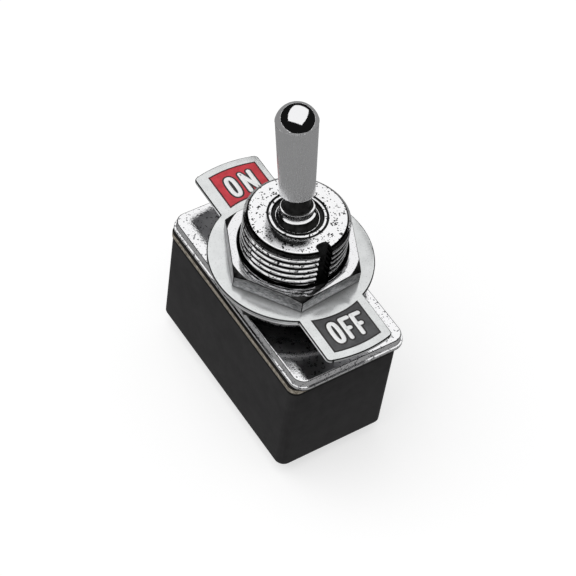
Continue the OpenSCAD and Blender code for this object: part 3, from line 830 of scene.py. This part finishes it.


# %% [markdown]
# Bright plating is nearly a mirror. What makes it look like plated metal and
# not like glass is a fine unevenness: a slight orange peel that breaks up the
# edges of reflections, dull marks from handling, and specks where dirt sits on
# the plating. A painted shadow, a near-black band, runs along the foot of the rim.

# %% Plated cover
cover_chrome, tree, shader, point = new_material("cover_chrome", Metallic=1.0)
peel = use_group(tree, grain, point, Size=0.22, Coarse=0.6)
worn = use_group(tree, marks, point, Size=2.2)
dirt = use_group(tree, specks, point, Size=0.26, Share=0.52)
# Painted shadow: the rim's lowest strip is coloured near black.
painted_seam_shadow = remap(tree, height_of(tree, point), cover_bottom + 0.2, cover_bottom + 0.26, 1, 0)
speckled = mixed(tree, dirt["Mask"], (0.92, 0.92, 0.93), (0.25, 0.25, 0.26))
feed(shader, "Base Color", mixed(tree, painted_seam_shadow, speckled, (0.02, 0.018, 0.016)))
feed(shader, "Roughness", remap(tree, worn["Smudge"], 0, 1, 0.03, 0.16))
bump(tree, shader, peel["Height"], 0.01)
dress(cover_chrome, cover)

# %% [markdown]
# On the bushing, the thread's roots are coloured dark as painted shade and its
# crests are left bright, so the distance from the axis tells dark from bright. The
# chamfer's upper edge has a painted dark band as shade, and the keyway and the
# rim's recesses are a second, near-black material that is painted shade.

# %% Plated bushing
bushing_chrome, tree, shader, point = new_material("bushing_chrome")
peel = use_group(tree, grain, point, Size=0.16, Coarse=0.5)
worn = use_group(tree, marks, point, Size=1.6)
dirt = use_group(tree, specks, point, Size=0.26, Share=0.54)
z, radius = height_of(tree, point), radius_of(tree, point)
threaded = remap(tree, z, chamfer_low, chamfer_low + 0.05, 1, 0)
# Painted shade: the thread's roots are coloured near black.
root = remap(tree, radius, CREST_RADIUS - 0.22, CREST_RADIUS - 0.12, 1, 0)
crest = maths(tree, "MULTIPLY", remap(tree, radius, CREST_RADIUS - 0.12, CREST_RADIUS - 0.04), threaded)
# Painted shade: a dark band on the chamfer's upper edge.
chamfer_painted_shade = maths(tree, "MULTIPLY", remap(tree, z, BUSHING_TOP - 0.24, BUSHING_TOP - 0.18),
                 remap(tree, z, BUSHING_TOP - 0.03, BUSHING_TOP, 1, 0))
chamfer_painted_shade = maths(tree, "MULTIPLY", chamfer_painted_shade, remap(tree, radius, 5.0, 5.1))
dark = maths(tree, "MAXIMUM", maths(tree, "MULTIPLY", root, threaded), chamfer_painted_shade)
speckled = mixed(tree, dirt["Mask"], (0.92, 0.92, 0.93), grey(0.02))
feed(shader, "Base Color", mixed(tree, dark, speckled, grey(0.012)))
feed(shader, "Roughness", remap(tree, worn["Smudge"], 0, 1, 0.08, 0.2))
feed(shader, "Metallic", remap(tree, crest, 0, 1, 1.0, 0.55))
bump(tree, shader, peel["Height"], 0.006)
# Painted shade: a near-black material for the keyway, the rim's recesses and the lever's neck and ball.
painted_shade_black = grained("painted_shade_black", 0.0, 0.5, 0.12, 0.8, 0.006, (grey(0.006), grey(0.025)),
                      Specular_IOR_Level=0.2)
dress_by_face(bushing, bushing_recess, bushing_chrome, painted_shade_black)

# %% [markdown]
# A nut is cut from drawn bar. Its flats keep the streaks of drawing and are
# duller than its turned top face, and their colour is darker as painted shade,
# with a painted contact shadow at their foot. The chamfer between top and flats
# and the bevelled edges are a third, near-black material that is painted shade.

# %% Nuts
NUT_TOP_LEAST = 0.95
NUT_CHAMFER_LEAST = 0.3
nut_chrome, tree, shader, point = new_material("nut_chrome", Metallic=1.0)
peel = use_group(tree, grain, point, Size=0.2, Coarse=0.5)
cut = use_group(tree, streaks, point, Width=0.3, Stretch=0.15)
worn = use_group(tree, marks, point, Size=1.8)
feed(shader, "Base Color", mixed(tree, worn["Pits"], (0.86, 0.86, 0.87), (0.35, 0.35, 0.36)))
feed(shader, "Roughness", remap(tree, cut["Streak"], 0.3, 0.7, 0.04, 0.12))
bump(tree, shader, maths(tree, "ADD", peel["Height"], cut["Streak"]), 0.003)

# Painted shade: the flats are a darker copy of the nut's metal; their streaks and roughness are real.
nut_flats_painted_shade, tree, shader, point = new_material("nut_flats_painted_shade", Metallic=1.0, Roughness=0.35)
peel = use_group(tree, grain, point, Size=0.2, Coarse=0.5)
cut = use_group(tree, streaks, point, Width=0.5, Stretch=0.2)
top_nut_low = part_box("top_nut")[0].z / MM
# Painted contact shadow: the flats turn near black at their foot.
foot = remap(tree, height_of(tree, point), top_nut_low, top_nut_low + 0.3, 1, 0)
flat_tone = mixed(tree, remap(tree, cut["Streak"], 0.42, 0.6), (0.24, 0.24, 0.25), (0.62, 0.62, 0.63))
feed(shader, "Base Color", mixed(tree, foot, flat_tone, grey(0.04)))
bump(tree, shader, maths(tree, "ADD", peel["Height"], cut["Streak"]), 0.008)

# Painted shade: a near-black material for the nut's chamfer and the bevelled edges of nut, washer and plate.
edge_painted_shade = grained("edge_painted_shade", 1.0, 0.4, 0.15, 0.8, 0.006, (grey(0.01), grey(0.05)))
on_top = facing(top_nut, (0, 0, 1), NUT_TOP_LEAST)
on_chamfer = facing(top_nut, (0, 0, 1), NUT_CHAMFER_LEAST)
nut_choice = np.where(on_top, 0, np.where(on_chamfer, EDGE_SLOT, 1))
dress_by_face(top_nut, nut_choice, nut_chrome, nut_flats_painted_shade, edge_painted_shade)
# Painted shade: the lower nut, under the plate, takes the darker flats all over.
dress(nut_flats_painted_shade, lower_nut)

# %% [markdown]
# The bat's side is satin: its brightness streaks along the lever, and it is
# much rougher than the polished dome, which mirrors the whole room.

# %% Lever's finishes
lever_satin, tree, shader, point = new_material("lever_satin_nickel", Metallic=1.0)
brushed = use_group(tree, streaks, point, Width=0.25, Stretch=40.0)
peel = use_group(tree, grain, point, Size=0.15, Coarse=0.5)
feed(shader, "Base Color", mixed(tree, brushed["Streak"], (0.8, 0.8, 0.81), (0.92, 0.92, 0.93)))
feed(shader, "Roughness", remap(tree, brushed["Streak"], 0.3, 0.7, 0.2, 0.34))
bump(tree, shader, peel["Height"], 0.0015)

bright = (0.88, 0.88, 0.89, 1)
lever_polish, tree, shader, point = new_material("lever_polish", Metallic=1.0, Base_Color=bright)
peel = use_group(tree, grain, point, Size=0.2, Coarse=0.8)
worn = use_group(tree, marks, point, Size=2.0)
feed(shader, "Roughness", remap(tree, worn["Smudge"], 0, 1, 0.02, 0.09))
bump(tree, shader, peel["Height"], 0.004)
# The lever's neck and ball take the near-black painted shade.
dress_by_face(lever, lever_finish, lever_polish, lever_satin, painted_shade_black)

# %% [markdown]
# The plate has pale plating with small pits, and the washer is brighter. Their
# undersides are a darker, duller material whose dark colour is painted shade, and
# their edges a near-black one, also painted shade. The enamel and the print are
# dull colours that vary a little from place to place.

# %% Washer, plate and printing
washer_steel = grained("washer_steel", 0.3, 0.25, 0.2, 0.6, 0.006, ((0.95, 0.95, 0.96), (0.85, 0.85, 0.86)))
# Painted shade: faces that look down get a darker metal.
underside_painted_shade = grained("underside_painted_shade", 1.0, 0.35, 0.3, 0.8, 0.008, ((0.5, 0.5, 0.51), (0.3, 0.3, 0.31)))
dress_by_face(washer, facing(washer, (0, 0, -1)), washer_steel, underside_painted_shade, edge_painted_shade)

plate_metal, tree, shader, point = new_material("plate_metal", Metallic=0.7, Roughness=0.17)
texture = use_group(tree, grain, point, Size=0.2, Coarse=0.8)
worn = use_group(tree, marks, point, Size=1.8)
plate_tone = mixed(tree, texture["Mottle"], (0.8, 0.815, 0.815), (0.73, 0.745, 0.745))
feed(shader, "Base Color", mixed(tree, worn["Pits"], plate_tone, (0.42, 0.43, 0.44)))
bump(tree, shader, texture["Height"], 0.005)
dress_by_face(plate, facing(plate, (0, 0, -1)), plate_metal, underside_painted_shade, edge_painted_shade)

white_tones = grey(0.99), (0.93, 0.94, 0.94)
red_tones = (0.66, 0.03, 0.048), (0.5, 0.016, 0.03)
grey_tones = (0.085, 0.085, 0.088), (0.045, 0.045, 0.048)
black_tones = (0.008, 0.007, 0.007), (0.03, 0.026, 0.026)
red_edge_tones = (0.03, 0.002, 0.004), (0.12, 0.008, 0.014)
dress(grained("letter_white", 0.0, 0.45, 0.15, 1.0, 0.004, white_tones), on_face, off_face)
dress(grained("red_enamel", 0.0, 0.4, 0.15, 1.0, 0.006, red_tones), on_field)
dress(grained("grey_enamel", 0.0, 0.45, 0.15, 1.0, 0.006, grey_tones), off_field)
dress(grained("print_black", 0.0, 0.5, 0.2, 1.0, 0.004, black_tones), on_edge, off_edge, off_border)
dress(grained("red_edge", 0.0, 0.5, 0.2, 1.0, 0.004, red_edge_tones), on_border)

# %% [markdown]
# Phenolic moulding is a black plastic with a dull, slightly uneven skin. The
# board is pressed from tan paper fibre and shows its specks at its cut edge.
# Painted shadows darken the case's top edge and the board's lowest and highest strips.

# %% Moulded case and board
board_low, board_high = (corner.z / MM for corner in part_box("top_insulator"))
phenolic, tree, shader, point = new_material("phenolic", Roughness=0.55, Specular_IOR_Level=0.2)
texture = use_group(tree, grain, point, Size=0.25, Coarse=1.2)
# Painted shadow: the case's top edge, under the board, is coloured near black.
painted_seam_shadow = remap(tree, height_of(tree, point), board_low - 0.52, board_low - 0.44)
moulded = mixed(tree, texture["Mottle"], (0.038, 0.037, 0.038), (0.029, 0.028, 0.029))
feed(shader, "Base Color", mixed(tree, painted_seam_shadow, moulded, grey(0.006)))
bump(tree, shader, texture["Height"], 0.012)
dress(phenolic, case)

fibre, tree, shader, point = new_material("fibre_board", Roughness=0.8)
texture = use_group(tree, grain, point, Size=0.06, Coarse=1.0)
z = height_of(tree, point)
# Painted shadow: the board's lowest strip and its top ledge are coloured near black.
painted_seam_shadow = maths(tree, "MAXIMUM", remap(tree, z, board_low + 0.04, board_low + 0.1, 1, 0),
             remap(tree, z, board_high - 0.1, board_high - 0.05))
fibre_tone = mixed(tree, texture["Mottle"], (0.55, 0.5, 0.42), (0.16, 0.13, 0.09))
feed(shader, "Base Color", mixed(tree, painted_seam_shadow, fibre_tone, (0.012, 0.01, 0.008)))
bump(tree, shader, texture["Height"], 0.02)
dress(fibre, board)

# %% [markdown]
# Inside and underneath are brass, silver contacts, plain steel and a nylon
# plunger. They are small and mostly hidden, so grain and a slight wandering of
# the colour are enough. CAD nodes keep their own meshes.

# %% Inner parts
brass_tones = (0.78, 0.6, 0.28), (0.6, 0.42, 0.18)
turned_tones = (0.76, 0.6, 0.3), (0.62, 0.46, 0.2)
steel_tones = (0.6, 0.61, 0.63), (0.45, 0.46, 0.48)
nylon_tones = (0.8, 0.77, 0.68), (0.74, 0.7, 0.6)
dress(grained("brass_strip", 1.0, 0.28, 0.3, 0.8, 0.006, brass_tones),
      common_tab, line_tab, nodes["rocker_saddle"], nodes["contact_strip"], nodes["contact_rocker"])
dress(grained("brass_turned", 1.0, 0.22, 0.2, 0.6, 0.004, turned_tones),
      common_screw, line_screw, nodes["common_rivet"], nodes["line_rivet"])
dress(grained("contact_silver", 1.0, 0.25, 0.2, 0.6, 0.004, Base_Color=(0.85, 0.85, 0.84, 1)),
      nodes["moving_contact"], nodes["fixed_contact"])
dress(grained("plain_steel", 1.0, 0.3, 0.25, 0.6, 0.006, steel_tones), yoke, nodes["lever_pin"], coil)
dress(grained("nylon", 0.0, 0.4, 0.3, 0.8, 0.006, nylon_tones), nodes["plunger"])

# %% [markdown]
# Studio. The world and the floor are white, and one large lamp hangs high in
# front. Plating shows what is round it, so reflections get a studio of their
# own, which only they see: a black tent, one big white softbox overhead and a
# grey table. They give bright metal its dark and bright bands. Lengths in the
# studio are in metres.

# %% World and floor
WORLD_LEVEL = 0.42
FLOOR_Z = cad_low.z - 0.05 * MM
FLOOR_HALF = 3.0
FLOOR_GLOW = 0.62


def ray_mask(tree):
    """1 for rays from the camera, from gloss and through glass."""
    path = tree.nodes.new("ShaderNodeLightPath")
    seen = maths(tree, "MAXIMUM", path.outputs["Is Camera Ray"], path.outputs["Is Glossy Ray"])
    return maths(tree, "MAXIMUM", seen, path.outputs["Is Transmission Ray"])


def plain_material(name, level, glow=0.0):
    """A dull grey material with no gloss, which may shine in white by itself."""
    return new_material(
        name, Base_Color=(*grey(level), 1), Roughness=1.0, Specular_IOR_Level=0.0,
        Emission_Color=(1, 1, 1, 1), Emission_Strength=glow)[0]


def stage_piece(name, points, faces, material, only_reflected=True):
    """A piece of the studio from points in metres. Most are seen by reflections alone."""
    mesh = bpy.data.meshes.new(name)
    mesh.from_pydata(points.reshape(-1, 3).tolist(), [], np.asarray(faces).tolist())
    piece = placed(name, mesh)
    piece.data.materials.append(material)
    for ray in ("camera", "diffuse", "transmission", "volume_scatter", "shadow"):
        setattr(piece, "visible_" + ray, not only_reflected)
    print(f"{name}: {len(mesh.polygons)} faces")


def level_rectangle(half_long, half_wide, z, middle=(0, 0), along=0.0):
    """Corners of a level rectangle at height z, whose long side runs at an angle along from +X."""
    ways = np.array([[np.cos(along), np.sin(along)], [-np.sin(along), np.cos(along)]])
    corners = np.array([(-1, -1), (1, -1), (1, 1), (-1, 1)]) * (half_long, half_wide)
    return at_height(middle + corners @ ways, z)


world = bpy.data.worlds.new("studio")
bpy.context.scene.world = world
world.use_nodes = True
tree = world.node_tree
background = tree.nodes["Background"]
background.inputs["Color"].default_value = (1, 1, 1, 1)
feed(background, "Strength", remap(tree, ray_mask(tree), 0, 1, WORLD_LEVEL, 1.0))

floor_paper = plain_material("floor_paper", 0.5)
tree = floor_paper.node_tree
feed(tree.nodes["Principled BSDF"], "Emission Strength", maths(tree, "MULTIPLY", ray_mask(tree), FLOOR_GLOW))
floor_corners = level_rectangle(FLOOR_HALF, FLOOR_HALF, FLOOR_Z)
stage_piece("floor", floor_corners, [range(4)], floor_paper, only_reflected=False)

# %% [markdown]
# The lamp is a wide square that faces the part and is hidden from reflections.
# The tent is a dome with an open foot, through which the plating still sees the
# white world. The softbox lies so that the cover mirrors it evenly.

# %% Lamp, tent, softbox and table
KEY_PLACE = (-0.15, -0.35, 0.9)
KEY_SIZE = 1.1
KEY_POWER = 6.0
TENT_RADIUS = 1.2
TENT_LOW, TENT_HIGH = 1.2, 89.9
TENT_TONE = 0.008
TENT_ROWS, TENT_COLUMNS = 24, 64
SOFTBOX_HEIGHT = 0.5
SOFTBOX_MIDDLE = np.array([-0.5, 0.4]) * SOFTBOX_HEIGHT
SOFTBOX_TURN = np.radians(-51.5)
SOFTBOX_LONG = 1.4 * SOFTBOX_HEIGHT
SOFTBOX_WIDE = 0.9 * SOFTBOX_HEIGHT
TABLE_HALF = 1.5
TABLE_TONE = 0.27

key = placed("key", bpy.data.lights.new("key", "AREA"))
key.data.size, key.data.energy = KEY_SIZE, KEY_POWER
key.location = KEY_PLACE
key.rotation_mode = "QUATERNION"
key.rotation_quaternion = (-Vector(KEY_PLACE)).to_track_quat("-Z", "Y")
key.visible_glossy = False
tent = lathe(arc_profile((0, 0), TENT_RADIUS, TENT_LOW, TENT_HIGH, TENT_ROWS), TENT_COLUMNS)
tent_faces = grid_faces(TENT_ROWS, TENT_COLUMNS, close_columns=True)
stage_piece("tent", tent, tent_faces, plain_material("tent_black", 0, TENT_TONE))
softbox = level_rectangle(SOFTBOX_LONG, SOFTBOX_WIDE, SOFTBOX_HEIGHT, SOFTBOX_MIDDLE, SOFTBOX_TURN)
stage_piece("softbox", softbox, [range(4)], plain_material("softbox_white", 0, 1.0))
table = level_rectangle(TABLE_HALF, TABLE_HALF, FLOOR_Z + 0.02 * MM)
stage_piece("table", table, [range(4)], plain_material("table_grey", 0, TABLE_TONE))
